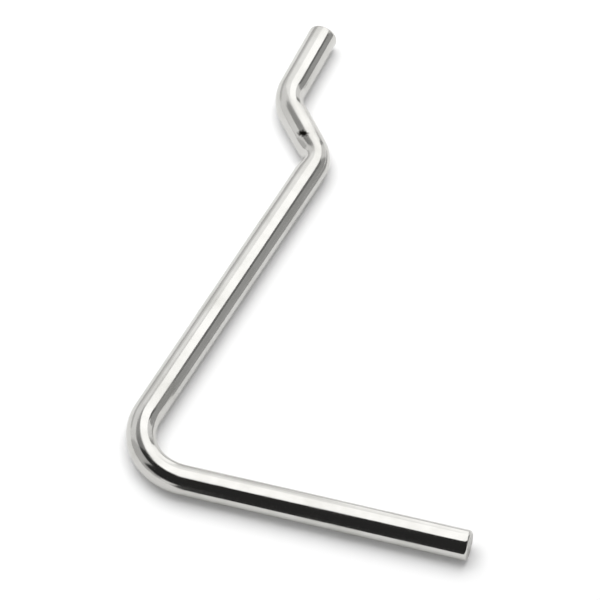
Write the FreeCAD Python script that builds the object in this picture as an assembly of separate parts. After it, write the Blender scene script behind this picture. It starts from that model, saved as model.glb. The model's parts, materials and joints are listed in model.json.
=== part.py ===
import FreeCAD, Part
import math
import os

# Pegboard hook: one length of round steel wire, bent cold in a single plane.
# The stub goes through a peg hole and stands up behind the board, the jog crosses the hole,
# the shank bears on the board's front, and the arm stands out and rises so that nothing slides off.
# Frame: origin at the centre of the peg hole on the board's front face, +X out of the board and
# +Z up the board. The wire's centre line lies in the plane Y = 0.

# Driving dimensions, in millimetres and degrees.
# Lengths are those of the straight runs, and radii are measured on the inside of each bend.
WIRE_DIAMETER = 5.7
BOARD_THICKNESS = 6.35
BOARD_CLEARANCE = 0.4
STUB_LENGTH = 14.5
STUB_LEAN = 4.0
UPPER_INSIDE_RADIUS = 5.4
JOG_SLOPE = 51.0
LOWER_INSIDE_RADIUS = 2.5
SHANK_LENGTH = 64.5
MAIN_INSIDE_RADIUS = 7.8
ARM_RISE = 12.0
ARM_LENGTH = 53.7
END_ROUNDING = 0.7

WIRE_RADIUS = WIRE_DIAMETER / 2


def direction(heading):
    """Unit vector in the plane Y = 0 at a heading in degrees, from +Z and turning towards +X."""
    angle = math.radians(heading)
    return FreeCAD.Vector(math.sin(angle), 0, math.cos(angle))


class WirePath:
    """Centre line of a bent wire, walked from one end in straight runs and tangent arcs."""

    def __init__(self, heading):
        self.point = FreeCAD.Vector(0, 0, 0)
        self.heading = heading
        self.edges = []

    def straight(self, length):
        """Add a straight run and return its edge."""
        end = self.point + direction(self.heading) * length
        self.edges.append(Part.LineSegment(self.point, end).toShape())
        self.point = end
        return self.edges[-1]

    def bend(self, inside_radius, turn):
        """Add a bend through a signed angle, its radius taken on the inside of the wire."""
        radius = inside_radius + WIRE_RADIUS
        to_centre = self.heading + math.copysign(90, turn)
        centre = self.point + direction(to_centre) * radius
        middle = centre - direction(to_centre + turn / 2) * radius
        end = centre - direction(to_centre + turn) * radius
        self.edges.append(Part.Arc(self.point, middle, end).toShape())
        self.point = end
        self.heading += turn
        return self.edges[-1]


def jog_run():
    """Straight part of the jog that leaves the board its thickness and clearance between the wires."""
    offset = BOARD_THICKNESS + BOARD_CLEARANCE + WIRE_DIAMETER
    slope = math.radians(JOG_SLOPE)
    lean = math.radians(STUB_LEAN)
    upper_bend = (UPPER_INSIDE_RADIUS + WIRE_RADIUS) * (math.cos(lean) - math.cos(slope))
    lower_bend = (LOWER_INSIDE_RADIUS + WIRE_RADIUS) * (1 - math.cos(slope))
    return (offset - upper_bend - lower_bend) / math.sin(slope)


def centre_line():
    """The whole centre line, from the stub's end to the arm's, placed against the board."""
    path = WirePath(180 - STUB_LEAN)
    path.straight(STUB_LENGTH)
    path.bend(UPPER_INSIDE_RADIUS, STUB_LEAN - JOG_SLOPE)
    jog = path.straight(jog_run())
    path.bend(LOWER_INSIDE_RADIUS, JOG_SLOPE)
    shank = path.straight(SHANK_LENGTH)
    path.bend(MAIN_INSIDE_RADIUS, -(90 + ARM_RISE))
    path.straight(ARM_LENGTH)
    line = Part.Wire(path.edges)
    # The shank's back touches the board's front face, and the jog's middle is level with the hole.
    line.translate(FreeCAD.Vector(WIRE_RADIUS - shank.CenterOfMass.x, 0, -jog.CenterOfMass.z))
    return line


def bent_wire(line):
    """Sweep the round section along the centre line and break the edges of both cut ends."""
    start = line.OrderedEdges[0]
    section = Part.Circle(start.firstVertex().Point, start.tangentAt(start.FirstParameter), WIRE_RADIUS)
    wire = line.makePipe(Part.Face(Part.Wire(section.toShape())))
    cut_ends = [face for face in wire.Faces if isinstance(face.Surface, Part.Plane)]
    rims = [edge for face in cut_ends for edge in face.Edges]
    return wire.makeFillet(END_ROUNDING, rims)


def main():
    os.makedirs("parts", exist_ok=True)
    bent_wire(centre_line()).exportStep("parts/hook_wire.step")


main()
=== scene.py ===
import json
import logging
import math
from dataclasses import dataclass
from enum import Enum

import bmesh
import bpy
from mathutils import Matrix, Vector


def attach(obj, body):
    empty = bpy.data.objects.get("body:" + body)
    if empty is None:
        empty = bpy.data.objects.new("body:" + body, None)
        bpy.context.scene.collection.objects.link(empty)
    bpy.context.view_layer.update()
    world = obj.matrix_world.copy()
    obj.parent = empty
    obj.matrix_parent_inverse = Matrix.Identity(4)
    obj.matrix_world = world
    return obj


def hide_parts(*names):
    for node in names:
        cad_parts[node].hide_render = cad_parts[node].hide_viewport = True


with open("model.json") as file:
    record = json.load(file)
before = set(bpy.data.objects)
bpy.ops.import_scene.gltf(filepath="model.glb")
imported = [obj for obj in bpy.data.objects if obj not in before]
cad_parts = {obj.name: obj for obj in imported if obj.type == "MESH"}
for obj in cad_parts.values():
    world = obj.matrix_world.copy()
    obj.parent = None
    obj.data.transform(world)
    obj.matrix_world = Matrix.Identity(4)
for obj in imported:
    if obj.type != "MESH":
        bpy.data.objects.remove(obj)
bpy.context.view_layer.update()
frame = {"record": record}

LOG = logging.getLogger("pegboard_hook")
MM = 0.001
NODE = "hook_wire"
BODY = "root"


class Zone(Enum):
    """The surfaces of the wire that differ in how they were made, by material index."""

    PLATED = 0
    CROPPED = 1


def linear(hex_colour: str) -> tuple[float, float, float, float]:
    """Turn an sRGB hex colour into linear light.

    Args:
        hex_colour: a colour written as # and six hex digits.

    Returns:
        Linear red, green and blue, and an alpha of one.
    """
    low_end, low_slope, offset, power = 0.04045, 12.92, 0.055, 2.4
    channels = []
    for start in (1, 3, 5):
        value = int(hex_colour[start:start + 2], 16) / 255
        if value <= low_end:
            channels.append(value / low_slope)
        else:
            channels.append(((value + offset) / (1 + offset)) ** power)
    return (channels[0], channels[1], channels[2], 1.0)


def add_node(
    tree: bpy.types.NodeTree,
    kind: str,
    inputs: dict[str | int, object] | None = None,
    **settings: object,
) -> bpy.types.Node:
    """Add one node to a tree, with its settings, constants and links.

    Args:
        tree: the node tree that takes the node.
        kind: the node's type name.
        inputs: a constant or another node's output for each named or numbered socket.
        settings: the node's own properties.

    Returns:
        The new node.
    """
    node = tree.nodes.new(kind)
    for name, value in settings.items():
        setattr(node, name, value)
    for socket, value in (inputs or {}).items():
        if isinstance(value, bpy.types.NodeSocket):
            tree.links.new(value, node.inputs[socket])
        else:
            node.inputs[socket].default_value = value
    return node


def new_material(name: str) -> bpy.types.Material:
    """Make an empty material that uses nodes.

    Args:
        name: the material's name.

    Returns:
        The material, with no node in it.
    """
    material = bpy.data.materials.new(name)
    material.use_nodes = True
    material.node_tree.nodes.clear()
    return material


def shown_rays(tree: bpy.types.NodeTree) -> bpy.types.NodeSocket:
    """Tell the rays that show the background, also mirrored or through glass, from those that light.

    Args:
        tree: the node tree that asks.

    Returns:
        One for a ray that shows the background and zero for any other.
    """
    path = add_node(tree, "ShaderNodeLightPath").outputs
    shown = path["Is Camera Ray"]
    for kind in ("Is Glossy Ray", "Is Transmission Ray"):
        either = add_node(tree, "ShaderNodeMath", {0: shown, 1: path[kind]}, operation="MAXIMUM")
        shown = either.outputs["Value"]
    return shown


@dataclass(frozen=True)
class Pattern:
    """A noise on the wire, drawn out along it, with its patch sizes in millimetres."""

    across: float
    along: float
    detail: float
    roughness: float = 0.5

    def height(self, tree: bpy.types.NodeTree, place: bpy.types.NodeSocket) -> bpy.types.NodeSocket:
        """Add the noise to a material.

        Args:
            tree: the material's node tree.
            place: the place on the straightened wire, in millimetres.

        Returns:
            The noise's value, about one half on average.
        """
        scale = (1 / self.across, 1 / self.across, 1 / self.along)
        scaled = add_node(tree, "ShaderNodeMapping", {"Vector": place, "Scale": scale})
        noise = add_node(
            tree, "ShaderNodeTexNoise",
            {"Vector": scaled.outputs["Vector"], "Scale": 1.0, "Detail": self.detail,
             "Roughness": self.roughness},
        )
        return noise.outputs["Fac"]


@dataclass(frozen=True)
class CreaseShade:
    """A dark patch painted on the wire as the shade in a crease near the jog's lower bend.

    Its ends are places on the straightened wire, in millimetres.
    """

    start: Vector
    end: Vector
    half_width: float = 0.85
    # The painted shade's colour, near black.
    colour: str = "#1C1B17"
    ragged: Pattern = Pattern(across=0.6, along=0.6, detail=2.0)
    # The painted shade fades out between these sums of the noise and the distance from the patch's
    # middle, which is counted in half lengths and half widths.
    fade_start: float = 0.95
    fade_end: float = 1.45

    def mask(self, tree: bpy.types.NodeTree, place: bpy.types.NodeSocket) -> bpy.types.NodeSocket:
        """Mark where the shade is painted.

        Args:
            tree: the material's node tree.
            place: the place on the straightened wire, in millimetres.

        Returns:
            One on the painted shade and zero off it.
        """
        reach = (self.end - self.start) / 2
        nearby = add_node(
            tree, "ShaderNodeMapping",
            {"Vector": place, "Location": self.start + reach,
             "Rotation": reach.to_track_quat("X", "Z").to_euler(),
             "Scale": (reach.length, self.half_width, self.half_width)},
            vector_type="TEXTURE",
        )
        distance = add_node(
            tree, "ShaderNodeVectorMath", {0: nearby.outputs["Vector"]}, operation="LENGTH",
        )
        edge = add_node(
            tree, "ShaderNodeMath",
            {0: distance.outputs["Value"], 1: self.ragged.height(tree, place)}, operation="ADD",
        )
        shaded = add_node(
            tree, "ShaderNodeMapRange",
            {"Value": edge.outputs["Value"], "From Min": self.fade_start, "From Max": self.fade_end,
             "To Min": 1.0, "To Max": 0.0},
        )
        return shaded.outputs["Result"]


@dataclass(frozen=True)
class BrightZincPlating:
    """Bright zinc plating on cold-drawn steel wire.

    It mirrors the studio in long bands. The drawing die left faint lines along the wire, and the
    straightening rolls left a slow waviness, so the bands' edges are not ruled straight. A thin
    bloom dulls it in patches, and a dark patch of shade is painted in one crease.
    """

    crease_shade: CreaseShade
    name: str = "bright_zinc_plating"
    colour: str = "#C9C8C5"
    dull_colour: str = "#BDBCB8"
    roughness_low: float = 0.1
    roughness_high: float = 0.19
    # The real die lines are finer still: they are drawn coarser so that they show in the render.
    die_lines: Pattern = Pattern(across=0.4, along=30.0, detail=3.0)
    die_line_depth: float = 0.006
    roll_waves: Pattern = Pattern(across=3.0, along=7.0, detail=2.0)
    roll_wave_depth: float = 0.02
    bloom: Pattern = Pattern(across=6.0, along=6.0, detail=4.0)
    # The noise's values where the bloom begins and where it is full.
    bloom_start: float = 0.4
    bloom_end: float = 0.72

    def material(self) -> bpy.types.Material:
        """Make the plating's material.

        Returns:
            The material, which reads the wire's straightened coordinates in millimetres.
        """
        material = new_material(self.name)
        tree = material.node_tree
        place = add_node(
            tree, "ShaderNodeAttribute", attribute_name=WireMesh.STRAIGHTENED,
        ).outputs["Vector"]
        waved = add_node(
            tree, "ShaderNodeBump",
            {"Strength": 1.0, "Distance": self.roll_wave_depth * MM,
             "Height": self.roll_waves.height(tree, place)},
        )
        lined = add_node(
            tree, "ShaderNodeBump",
            {"Strength": 1.0, "Distance": self.die_line_depth * MM,
             "Height": self.die_lines.height(tree, place), "Normal": waved.outputs["Normal"]},
        )
        bloom = self.bloom.height(tree, place)
        rough = add_node(
            tree, "ShaderNodeMapRange",
            {"Value": bloom, "From Min": self.bloom_start, "From Max": self.bloom_end,
             "To Min": self.roughness_low, "To Max": self.roughness_high},
        )
        shade = add_node(tree, "ShaderNodeValToRGB", {"Fac": bloom})
        bright, dull = shade.color_ramp.elements
        bright.position = self.bloom_start
        bright.color = linear(self.colour)
        dull.position = self.bloom_end
        dull.color = linear(self.dull_colour)
        # A Mix node's colour sockets go by number, because its other kinds share their names.
        # The third colour socket takes the colour of the painted crease shade.
        share, zinc, scale, mixed = 0, 6, 7, 2
        shaded_colour = add_node(
            tree, "ShaderNodeMix",
            {share: self.crease_shade.mask(tree, place), zinc: shade.outputs["Color"],
             scale: linear(self.crease_shade.colour)},
            data_type="RGBA",
        )
        surface = add_node(
            tree, "ShaderNodeBsdfPrincipled",
            {"Base Color": shaded_colour.outputs[mixed], "Metallic": 1.0,
             "Roughness": rough.outputs["Result"], "Normal": lined.outputs["Normal"]},
        )
        add_node(tree, "ShaderNodeOutputMaterial", {"Surface": surface.outputs["BSDF"]})
        return material


@dataclass(frozen=True)
class CroppedEndPlating:
    """The same plating over the sheared end of the wire.

    The crop left a torn, pitted face under the zinc, so it looks greyer and shines softly; shade is
    painted darker into its pits.
    """

    name: str = "zinc_plated_cropped_end"
    colour: str = "#B5B4B1"
    # The colour painted into the pits as their shade.
    pit_shade_colour: str = "#85847F"
    roughness: float = 0.32
    tears: Pattern = Pattern(across=0.5, along=0.5, detail=4.0, roughness=0.6)
    tear_depth: float = 0.03
    # The noise's values at the bottom of a pit and on the face between the pits.
    pit_value: float = 0.3
    face_value: float = 0.55

    def material(self) -> bpy.types.Material:
        """Make the end's material.

        Returns:
            The material, which reads the wire's straightened coordinates in millimetres.
        """
        material = new_material(self.name)
        tree = material.node_tree
        place = add_node(
            tree, "ShaderNodeAttribute", attribute_name=WireMesh.STRAIGHTENED,
        ).outputs["Vector"]
        tears = self.tears.height(tree, place)
        torn = add_node(
            tree, "ShaderNodeBump", {"Strength": 1.0, "Distance": self.tear_depth * MM, "Height": tears},
        )
        # Painted shade: the colour goes darker where the noise sinks into a pit.
        shade = add_node(tree, "ShaderNodeValToRGB", {"Fac": tears})
        pit, face = shade.color_ramp.elements
        pit.position = self.pit_value
        pit.color = linear(self.pit_shade_colour)
        face.position = self.face_value
        face.color = linear(self.colour)
        surface = add_node(
            tree, "ShaderNodeBsdfPrincipled",
            {"Base Color": shade.outputs["Color"], "Metallic": 1.0,
             "Roughness": self.roughness, "Normal": torn.outputs["Normal"]},
        )
        add_node(tree, "ShaderNodeOutputMaterial", {"Surface": surface.outputs["BSDF"]})
        return material


@dataclass(frozen=True)
class Squeeze:
    """How a bend thins the wire: the share lost on its inner and outer side, and how far past the bend."""

    inner: float
    outer: float
    past: float


@dataclass
class Ring:
    """One ring of the wire's points, with the wire's heading there and the distance from its start."""

    verts: list[bmesh.types.BMVert]
    heading: float
    along: float


class WireMesh:
    """A round wire grown ring by ring along its bent centre line, in millimetres.

    Each point keeps its place on the wire as it was before bending, so a finish can follow the wire.
    """

    STRAIGHTENED = "straightened"
    SEGMENTS = 96
    RUN_STEP = 1.0
    BEND_STEP = 2.5

    def __init__(self, radius: float, start: Vector, heading: float) -> None:
        """Start the wire with one ring.

        Args:
            radius: the wire's radius.
            start: the centre of the first ring.
            heading: the way the wire goes, in degrees from +Z towards +X.
        """
        self.radius = radius
        self.heading = heading
        self.along = 0.0
        self.centre = start.copy()
        self.rings: list[Ring] = []
        self.mesh = bmesh.new()
        self.layer = self.mesh.verts.layers.float_vector.new(self.STRAIGHTENED)
        bmesh.ops.create_circle(self.mesh, radius=radius, segments=self.SEGMENTS)
        for vert in self.mesh.verts:
            vert[self.layer] = vert.co.copy()
        turn = Matrix.Rotation(math.radians(heading), 4, "Y")
        bmesh.ops.transform(self.mesh, matrix=Matrix.Translation(start) @ turn, verts=self.mesh.verts)
        self.edges = list(self.mesh.edges)
        self.first_edges = list(self.edges)
        self.first_centre = start.copy()
        self.first_direction = self.direction(heading)

    @staticmethod
    def direction(heading: float) -> Vector:
        """Give the unit vector at a heading, in the plane of the bends."""
        angle = math.radians(heading)
        return Vector((math.sin(angle), 0.0, math.cos(angle)))

    @staticmethod
    def ring_verts(edges: list[bmesh.types.BMEdge]) -> list[bmesh.types.BMVert]:
        """List the points of a ring of edges, each once."""
        return list({vert: None for edge in edges for vert in edge.verts})

    def extrude(self, edges: list[bmesh.types.BMEdge], advance: float) -> list[bmesh.types.BMEdge]:
        """Grow a new ring on an old one, still in the same place.

        Args:
            edges: the ring that is extruded.
            advance: how far the new ring lies along the straight wire.

        Returns:
            The edges of the new ring.
        """
        grown = bmesh.ops.extrude_edge_only(self.mesh, edges=edges)["geom"]
        fresh = [item for item in grown if isinstance(item, bmesh.types.BMEdge)]
        for vert in self.ring_verts(fresh):
            vert[self.layer] = vert[self.layer] + Vector((0.0, 0.0, advance))
        return fresh

    def advance(self, length: float) -> list[bmesh.types.BMVert]:
        """Grow the wire's last ring and note the new one.

        Args:
            length: how far the new ring lies along the straight wire.

        Returns:
            The new ring's points, still in the old ring's place.
        """
        self.edges = self.extrude(self.edges, length)
        self.along += length
        verts = self.ring_verts(self.edges)
        self.rings.append(Ring(verts, self.heading, self.along))
        return verts

    def run(self, length: float) -> None:
        """Lengthen the wire by a straight run.

        Args:
            length: the run's length.
        """
        steps = max(1, round(length / self.RUN_STEP))
        shift = self.direction(self.heading) * (length / steps)
        for _ in range(steps):
            bmesh.ops.translate(self.mesh, vec=shift, verts=self.advance(length / steps))
            self.centre += shift

    def bend(self, inside_radius: float, turn: float) -> float:
        """Lengthen the wire by a bend in the plane Y = 0.

        Args:
            inside_radius: the radius of the bend's inner side.
            turn: the angle of the bend in degrees, above zero from +Z towards +X.

        Returns:
            How far the middle of the bend lies along the wire.
        """
        radius = inside_radius + self.radius
        pivot = self.centre + self.direction(self.heading + math.copysign(90.0, turn)) * radius
        steps = max(1, round(abs(turn) / self.BEND_STEP))
        angle = math.radians(turn / steps)
        rotation = Matrix.Rotation(angle, 3, "Y")
        start = self.along
        for _ in range(steps):
            self.heading += turn / steps
            verts = self.advance(radius * abs(angle))
            bmesh.ops.rotate(self.mesh, cent=pivot, matrix=rotation, verts=verts)
            self.centre = pivot + rotation @ (self.centre - pivot)
        return (start + self.along) / 2

    def thin(self, middle: float, reach: float, inside: float, squeeze: Squeeze) -> None:
        """Thin the wire round a bend, most at its middle.

        Args:
            middle: how far the bend's middle lies along the wire.
            reach: how far from there the wire is thinned.
            inside: the sign of the bend's turn, which tells its inner side.
            squeeze: how much is lost on each side.
        """
        for ring in self.rings:
            offset = abs(ring.along - middle) / reach
            if offset >= 1:
                continue
            weight = math.cos(offset * math.pi / 2) ** 2
            inward = self.direction(ring.heading + 90.0) * inside
            for vert in ring.verts:
                depth = vert[self.layer].x * inside
                lost = squeeze.inner if depth > 0 else squeeze.outer
                vert.co -= inward * (depth * lost * weight)

    def close_end(
        self,
        edges: list[bmesh.types.BMEdge],
        centre: Vector,
        outward: Vector,
        rounding: float,
        dish: float,
    ) -> None:
        """Round the rim of an end and close it with a slightly dished face.

        Args:
            edges: the last ring of the wire's round surface.
            centre: that ring's centre.
            outward: the unit vector out of the end.
            rounding: the radius of the rim.
            dish: how far the middle of the face lies below its rim.
        """
        rim_steps = 8
        # The crop's tear reaches over the last of the rim.
        first_torn = rim_steps - 2
        # The rings of the face, as shares of its radius and of the dish's depth.
        face_rings = ((0.85, 0.15), (0.6, 0.55), (0.3, 0.9), (0.0, 1.0))
        flat = self.radius - rounding
        widths = []
        for step in range(1, rim_steps + 1):
            angle = math.radians(90.0 * step / rim_steps)
            widths.append((flat + rounding * math.cos(angle), rounding * math.sin(angle)))
        for share, depth in face_rings:
            widths.append((flat * share, rounding - dish * depth))
        old_width, old_rise = self.radius, 0.0
        for number, (width, rise) in enumerate(widths):
            known = set(self.mesh.faces)
            edges = self.extrude(edges, 0.0)
            verts = self.ring_verts(edges)
            if width > 0:
                share = width / old_width
                bmesh.ops.scale(
                    self.mesh, vec=(share, share, share), verts=verts,
                    space=Matrix.Translation(-(centre + outward * old_rise)),
                )
                bmesh.ops.translate(self.mesh, vec=outward * (rise - old_rise), verts=verts)
            else:
                bmesh.ops.pointmerge(self.mesh, verts=verts, merge_co=centre + outward * rise)
            if number >= first_torn:
                for face in set(self.mesh.faces) - known:
                    face.material_index = Zone.CROPPED.value
            old_width, old_rise = width, rise

    def finish(self, name: str) -> bpy.types.Object:
        """Turn the wire into an object in metres, with its faces outward and its shading smooth.

        Args:
            name: the object's name.

        Returns:
            The object, at the origin.
        """
        merge_distance = 1e-4
        bmesh.ops.remove_doubles(self.mesh, verts=self.mesh.verts, dist=merge_distance)
        bmesh.ops.recalc_face_normals(self.mesh, faces=self.mesh.faces)
        bmesh.ops.scale(self.mesh, vec=(MM, MM, MM), verts=self.mesh.verts)
        for face in self.mesh.faces:
            face.smooth = True
        data = bpy.data.meshes.new(name)
        self.mesh.to_mesh(data)
        self.mesh.free()
        piece = bpy.data.objects.new(name, data)
        bpy.context.scene.collection.objects.link(piece)
        return piece


@dataclass
class HookWire:
    """The hook: one wire with a stub, a jog, a shank and an arm, in millimetres and degrees."""

    radius: float
    stub_tip: Vector
    stub_lean: float
    stub_length: float
    arm_rise: float
    arm_length: float
    end_rounding: float = 0.7
    end_dish: float = 0.12
    board_gap: float = 6.75
    jog_slope: float = 51.0
    upper_inside_radius: float = 5.4
    lower_inside_radius: float = 2.5
    shank_length: float = 64.5
    main_inside_radius: float = 7.8
    # The tighter a bend, the more the bending tool flattens the wire there.
    upper_squeeze: Squeeze = Squeeze(inner=0.05, outer=0.03, past=2.0)
    lower_squeeze: Squeeze = Squeeze(inner=0.16, outer=0.04, past=2.5)
    main_squeeze: Squeeze = Squeeze(inner=0.04, outer=0.03, past=2.0)
    # The painted crease shade runs askew over the jog: these are its ends, past the jog's middle and round
    # the wire.
    shade_past_middle: tuple[float, float] = (1.1, 3.2)
    shade_facing: tuple[float, float] = (40.0, 4.0)

    @classmethod
    def from_record(cls, record: dict) -> "HookWire":
        """Read the wire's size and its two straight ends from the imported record.

        Args:
            record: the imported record.

        Returns:
            The hook, with its other sizes at their defaults.
        """
        mounts = {mount["name"]: mount for mount in record["mounts"]}
        stub, arm = mounts["stub"], mounts["arm"]
        axis = Vector(stub["axis"])
        half = stub["dims"]["length_mm"] / 2
        middle = Vector(stub["pos_m"]) / MM
        return cls(
            radius=stub["dims"]["r_mm"],
            stub_tip=middle + axis * half,
            stub_lean=math.degrees(math.atan2(-axis.x, axis.z)),
            stub_length=stub["dims"]["length_mm"],
            arm_rise=math.degrees(math.atan2(arm["axis"][2], arm["axis"][0])),
            arm_length=arm["dims"]["length_mm"],
        )

    def jog_run(self) -> float:
        """Work out the jog's straight run, which leaves the board its gap.

        Returns:
            The length between the jog's two bends.
        """
        slope = math.radians(self.jog_slope)
        lean = math.radians(self.stub_lean)
        upper = (self.upper_inside_radius + self.radius) * (math.cos(lean) - math.cos(slope))
        lower = (self.lower_inside_radius + self.radius) * (1 - math.cos(slope))
        return (self.board_gap + 2 * self.radius - upper - lower) / math.sin(slope)

    def jog_crease_shade(self) -> CreaseShade:
        """Place the painted crease shade on the straightened wire.

        Returns:
            The painted shade, on the jog's near side.
        """
        upper_turn = math.radians(self.jog_slope - self.stub_lean)
        upper_bend = upper_turn * (self.upper_inside_radius + self.radius)
        jog_middle = self.stub_length + upper_bend + self.jog_run() / 2
        ends = []
        for past, facing in zip(self.shade_past_middle, self.shade_facing):
            angle = math.radians(facing)
            across, near = self.radius * math.sin(angle), self.radius * math.cos(angle)
            ends.append(Vector((across, -near, jog_middle + past)))
        return CreaseShade(*ends)

    def build(self) -> bpy.types.Object:
        """Make the wire's mesh from the stub's end to the arm's end.

        Returns:
            The hook's object.
        """
        wire = WireMesh(self.radius, self.stub_tip, 180.0 - self.stub_lean)
        upper_turn = self.stub_lean - self.jog_slope
        main_turn = -(90.0 + self.arm_rise)
        bends = (
            (self.stub_length, self.upper_inside_radius, upper_turn, self.upper_squeeze),
            (self.jog_run(), self.lower_inside_radius, self.jog_slope, self.lower_squeeze),
            (self.shank_length, self.main_inside_radius, main_turn, self.main_squeeze),
        )
        thinned = []
        for run, inside_radius, turn, squeeze in bends:
            wire.run(run)
            start = wire.along
            middle = wire.bend(inside_radius, turn)
            thinned.append((middle, middle - start + squeeze.past, math.copysign(1.0, turn), squeeze))
        wire.run(self.arm_length)
        for middle, reach, inside, squeeze in thinned:
            wire.thin(middle, reach, inside, squeeze)
        outward = wire.direction(wire.heading)
        wire.close_end(wire.edges, wire.centre, outward, self.end_rounding, self.end_dish)
        wire.close_end(
            wire.first_edges, wire.first_centre, -wire.first_direction, self.end_rounding, self.end_dish,
        )
        return wire.finish("bent_hook_wire")

    def dress(self, piece: bpy.types.Object) -> None:
        """Give the wire its finishes and tie it to the frame.

        Args:
            piece: the hook's object.
        """
        finishes = {Zone.PLATED: BrightZincPlating(self.jog_crease_shade()), Zone.CROPPED: CroppedEndPlating()}
        for zone in Zone:
            piece.data.materials.append(finishes[zone].material())
        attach(piece, BODY)
        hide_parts(NODE)


@dataclass(frozen=True)
class PhotoView:
    """The camera's place over the surface that the hook lies on, in millimetres and degrees.

    The surface touches the hook's far side. The hook lies on it turned by shank_heading.
    """

    shank_heading: float = 62.24
    elevation: float = 52.5
    distance: float = 1030.0
    target_x: float = 15.3
    target_z: float = -35.84
    frame_width: float = 111.34
    sensor_width: float = 36.0
    far_clip: float = 10000.0

    def right(self) -> Vector:
        """Give the direction along the surface to the picture's right."""
        heading = math.radians(self.shank_heading)
        return Vector((math.sin(heading), 0.0, math.cos(heading)))

    def away(self) -> Vector:
        """Give the direction along the surface away from the camera."""
        heading = math.radians(self.shank_heading)
        return Vector((-math.cos(heading), 0.0, math.sin(heading)))

    def above(self) -> Vector:
        """Give the direction off the surface, towards the camera's side."""
        return Vector((0.0, -1.0, 0.0))

    def target(self) -> Vector:
        """Give the point on the hook's plane at the middle of the picture."""
        return Vector((self.target_x, 0.0, self.target_z))

    def place(self, right: float, away: float, above: float) -> Vector:
        """Give the point, in metres, at these distances from the middle of the picture."""
        return (self.target() + self.right() * right + self.away() * away + self.above() * above) * MM

    def camera(self) -> bpy.types.Object:
        """Make the camera and look through it.

        Returns:
            The camera.
        """
        tilt = math.radians(self.elevation)
        back = self.above() * math.sin(tilt) - self.away() * math.cos(tilt)
        top = self.above() * math.cos(tilt) + self.away() * math.sin(tilt)
        lens = bpy.data.cameras.new("photo_view")
        lens.sensor_width = self.sensor_width
        lens.lens = self.sensor_width * self.distance / self.frame_width
        lens.clip_end = self.far_clip * MM
        camera = bpy.data.objects.new("photo_view", lens)
        turn = Matrix((self.right(), top, back)).transposed().to_4x4()
        camera.matrix_world = Matrix.Translation((self.target() + back * self.distance) * MM) @ turn
        bpy.context.scene.collection.objects.link(camera)
        bpy.context.scene.camera = camera
        return camera


@dataclass(frozen=True)
class Card:
    """A flat card or cloth that stands out of the picture, where only the bright wire mirrors it.

    Its corners are distances right, away and above from the middle of the picture, in millimetres.
    """

    name: str
    level: float
    corners: tuple[tuple[float, float, float], ...]

    @classmethod
    def lying(cls, name: str, level: float, above: float, *outline: tuple[float, float]) -> "Card":
        """Lay a card level with the surface, by its corners' distances right and away."""
        return cls(name, level, tuple((right, away, above) for right, away in outline))

    @classmethod
    def facing(cls, name: str, level: float, away: float, *outline: tuple[float, float]) -> "Card":
        """Stand a card up across the picture, by its corners' distances right and above."""
        return cls(name, level, tuple((right, away, above) for right, above in outline))

    @classmethod
    def beside(cls, name: str, level: float, right: float, *outline: tuple[float, float]) -> "Card":
        """Stand a card up beside the picture, by its corners' distances away and above."""
        return cls(name, level, tuple((right, away, above) for away, above in outline))

    def build(self, view: PhotoView) -> bpy.types.Object:
        """Make the card.

        Args:
            view: the view that the corners are measured in.

        Returns:
            The card's object.
        """
        mesh = bmesh.new()
        verts = [mesh.verts.new(view.place(*corner)) for corner in self.corners]
        outline = [mesh.edges.new(pair) for pair in zip(verts, verts[1:] + verts[:1])]
        bmesh.ops.edgeloop_fill(mesh, edges=outline)
        data = bpy.data.meshes.new(self.name)
        mesh.to_mesh(data)
        mesh.free()
        material = new_material(self.name)
        tree = material.node_tree
        glow = add_node(tree, "ShaderNodeEmission", {"Strength": self.level})
        add_node(tree, "ShaderNodeOutputMaterial", {"Surface": glow.outputs["Emission"]})
        data.materials.append(material)
        card = bpy.data.objects.new(self.name, data)
        card.visible_camera = False
        card.visible_diffuse = False
        card.visible_shadow = False
        bpy.context.scene.collection.objects.link(card)
        return card


@dataclass(frozen=True)
class Lamp:
    """A square lamp overhead that lights the surface, with its place and size in millimetres."""

    name: str
    level: float
    size: float
    right: float
    away: float
    above: float

    def build(self, view: PhotoView) -> bpy.types.Object:
        """Make the lamp, which the camera doesn't see and the wire doesn't mirror.

        Args:
            view: the view that the place is measured in.

        Returns:
            The lamp's object.
        """
        light = bpy.data.lights.new(self.name, "AREA")
        light.shape = "SQUARE"
        light.size = self.size * MM
        light.energy = self.level * math.pi * light.size ** 2
        lamp = bpy.data.objects.new(self.name, light)
        facing = Matrix((view.right(), view.away(), view.above())).transposed().to_4x4()
        lamp.matrix_world = Matrix.Translation(view.place(self.right, self.away, self.above)) @ facing
        lamp.visible_camera = False
        lamp.visible_glossy = False
        bpy.context.scene.collection.objects.link(lamp)
        return lamp


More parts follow.
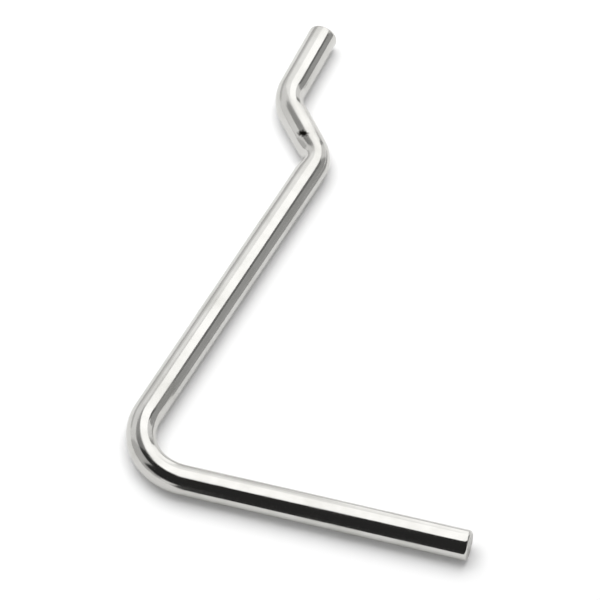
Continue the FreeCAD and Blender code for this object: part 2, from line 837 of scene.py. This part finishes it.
@dataclass(frozen=True)
class Studio:
    """A white surface in a white studio: a softbox overhead, with dark cloths in front and above.

    The softbox and the cards are what the wire mirrors, and the lamp above them lights the surface.
    """

    view: PhotoView
    surface_y: float
    surface_size: float = 4000.0
    surface_colour: str = "#F4F4F4"
    surface_top_up: float = 0.06
    background_level: float = 1.0
    fill_level: float = 0.4
    lamp: Lamp = Lamp("overhead_lamp", level=2.75, size=875.0, right=-90.0, away=300.0, above=700.0)

    def build(self) -> list[bpy.types.Object]:
        """Make the surface, the lamp, the world and the cards.

        Returns:
            The surface, the lamp and the cards.
        """
        bpy.context.scene.view_settings.view_transform = "Standard"
        made = [self.surface(), self.lamp.build(self.view)]
        self.world()
        for card in self.cards():
            made.append(card.build(self.view))
        return made

    def cards(self) -> list[Card]:
        """List the cards and cloths that the wire mirrors.

        Returns:
            The cards, each with its level and its corners.
        """
        lift = 0.1
        foot = lift - self.surface_y
        ceiling, softbox, hung = 400.0, 385.0, 380.0
        front, left, right, back = -300.0, -350.0, 500.0, 600.0
        left_edge = -85.0
        return [
            Card.lying(
                "softbox", 1.7, softbox,
                (-109.0, -137.0), (-160.0, -21.0), (-179.0, 74.0), (-125.0, 186.0), (-81.0, 241.0),
                (-50.0, 290.0), (-35.0, 340.0), (60.0, 420.0), (250.0, 800.0), (480.0, 800.0),
                (421.0, 335.0), (345.0, -137.0),
            ),
            Card.lying(
                "dark_ceiling", 0.03, hung,
                (700.0, -115.0), (-75.0, -107.0), (-109.0, -130.0), (-160.0, -21.0), (-179.0, 74.0),
                (-150.0, 130.0), (-420.0, 130.0), (-420.0, -900.0), (700.0, -900.0),
            ),
            Card.lying(
                "grey_ceiling", 0.28, hung,
                (-150.0, 130.0), (-125.0, 186.0), (-98.0, 220.0), (-420.0, 220.0), (-420.0, 130.0),
            ),
            Card.lying(
                "mid_grey_ceiling", 0.42, hung,
                (-98.0, 220.0), (-81.0, 241.0), (-60.0, 275.0), (-134.0, 310.0), (-264.0, 320.0),
                (-420.0, 250.0), (-420.0, 220.0),
            ),
            Card.lying(
                "pale_ceiling", 1.3, ceiling,
                (-330.0, 560.0), (-149.0, 380.0), (-40.0, 330.0), (400.0, 330.0), (400.0, 900.0),
                (-330.0, 900.0),
            ),
            Card.facing(
                "dark_front_cloth", 0.03, front,
                (-170.0, foot), (900.0, foot), (900.0, hung), (left, hung), (left, 100.0), (-170.0, 50.0),
            ),
            Card.beside(
                "dark_left_cloth", 0.03, left,
                (left_edge, 90.0), (front, 100.0), (front, hung), (left_edge, hung),
            ),
            Card.beside(
                "grey_low_card", 0.6, left,
                (left_edge, foot), (front, foot), (front, 100.0), (left_edge, 90.0),
            ),
            # Painted shadow: a dark sheet that only the wire mirrors, standing for the floor's shade in
            # front of the arm.
            Card.lying(
                "front_shadow_reflection_sheet", 0.04, foot,
                (-26.0, -53.5), (120.0, -95.0), (300.0, front), (-250.0, front),
            ),
            Card.beside(
                "grey_left_card", 0.66, left,
                (110.0, foot), (left_edge, foot), (left_edge, 310.0), (110.0, 310.0),
            ),
            Card.beside(
                "grey_right_card", 0.46, right,
                (-300.0, foot), (300.0, foot), (300.0, 296.0), (-300.0, 296.0),
            ),
            # Painted shadow: a grey sheet that only the wire mirrors, standing for the floor's shade right
            # of the shank.
            Card.lying(
                "right_shadow_reflection_sheet", 0.5, foot,
                (-13.0, -22.0), (27.0, 58.0), (right, 58.0), (right, -22.0),
            ),
            Card.lying(
                "grey_right_gap", 0.2, ceiling,
                (350.0, 60.0), (350.0, 330.0), (720.0, 330.0), (720.0, 60.0),
            ),
            Card.facing(
                "white_back_card", 1.6, back,
                (85.0, foot), (345.0, foot), (345.0, 380.0), (85.0, 380.0),
            ),
            Card.facing(
                "grey_back_wall", 0.72, back,
                (-900.0, foot), (-120.0, foot), (-120.0, 200.0), (-900.0, 260.0),
            ),
            Card.facing(
                "dark_back_strip", 0.35, back,
                (345.0, foot), (450.0, foot), (450.0, 300.0), (345.0, 300.0),
            ),
        ]

    def surface(self) -> bpy.types.Object:
        """Make the white surface, which can only be seen from the hook's side.

        Returns:
            The surface's object.
        """
        mesh = bmesh.new()
        bmesh.ops.create_grid(mesh, size=self.surface_size * MM / 2)
        turn = Matrix.Rotation(math.radians(90.0), 4, "X")
        middle = Vector((self.view.target_x, self.surface_y, self.view.target_z)) * MM
        bmesh.ops.transform(mesh, matrix=Matrix.Translation(middle) @ turn, verts=mesh.verts)
        data = bpy.data.meshes.new("white_surface")
        mesh.to_mesh(data)
        mesh.free()
        data.materials.append(self.surface_material())
        surface = bpy.data.objects.new("white_surface", data)
        bpy.context.scene.collection.objects.link(surface)
        return surface

    def surface_material(self) -> bpy.types.Material:
        """Make the matt white of the surface, clear from its back.

        Returns:
            The material.
        """
        material = new_material("matt_white_surface")
        tree = material.node_tree
        matt = add_node(tree, "ShaderNodeBsdfDiffuse", {"Color": linear(self.surface_colour)})
        strength = add_node(
            tree, "ShaderNodeMath", {0: shown_rays(tree), 1: self.surface_top_up}, operation="MULTIPLY",
        )
        glow = add_node(tree, "ShaderNodeEmission", {"Strength": strength.outputs["Value"]})
        white = add_node(
            tree, "ShaderNodeAddShader", {0: matt.outputs["BSDF"], 1: glow.outputs["Emission"]},
        )
        clear = add_node(tree, "ShaderNodeBsdfTransparent")
        side = add_node(tree, "ShaderNodeNewGeometry").outputs["Backfacing"]
        shader = add_node(
            tree, "ShaderNodeMixShader",
            {0: side, 1: white.outputs["Shader"], 2: clear.outputs["BSDF"]},
        )
        add_node(tree, "ShaderNodeOutputMaterial", {"Surface": shader.outputs["Shader"]})
        return material

    def world(self) -> None:
        """Make the white studio: white where it is seen or mirrored, and a soft fill elsewhere."""
        world = bpy.data.worlds.new("soft_studio")
        bpy.context.scene.world = world
        world.use_nodes = True
        tree = world.node_tree
        tree.nodes.clear()
        strength = add_node(
            tree, "ShaderNodeMapRange",
            {"Value": shown_rays(tree), "To Min": self.fill_level, "To Max": self.background_level},
        )
        white = add_node(
            tree, "ShaderNodeBackground",
            {"Color": linear("#FFFFFF"), "Strength": strength.outputs["Result"]},
        )
        add_node(tree, "ShaderNodeOutputWorld", {"Surface": white.outputs["Background"]})


def main() -> None:
    """Build the hook, its finishes and the studio."""
    logging.basicConfig(level=logging.INFO, format="%(message)s")
    hook = HookWire.from_record(frame["record"])
    piece = hook.build()
    hook.dress(piece)
    LOG.info("%s: %d faces", piece.name, len(piece.data.polygons))
    view = PhotoView()
    LOG.info("%s: %.1f degrees above the surface", view.camera().name, view.elevation)
    for item in Studio(view, hook.radius).build():
        LOG.info("%s: in the studio", item.name)


if __name__ == "__main__":
    main()
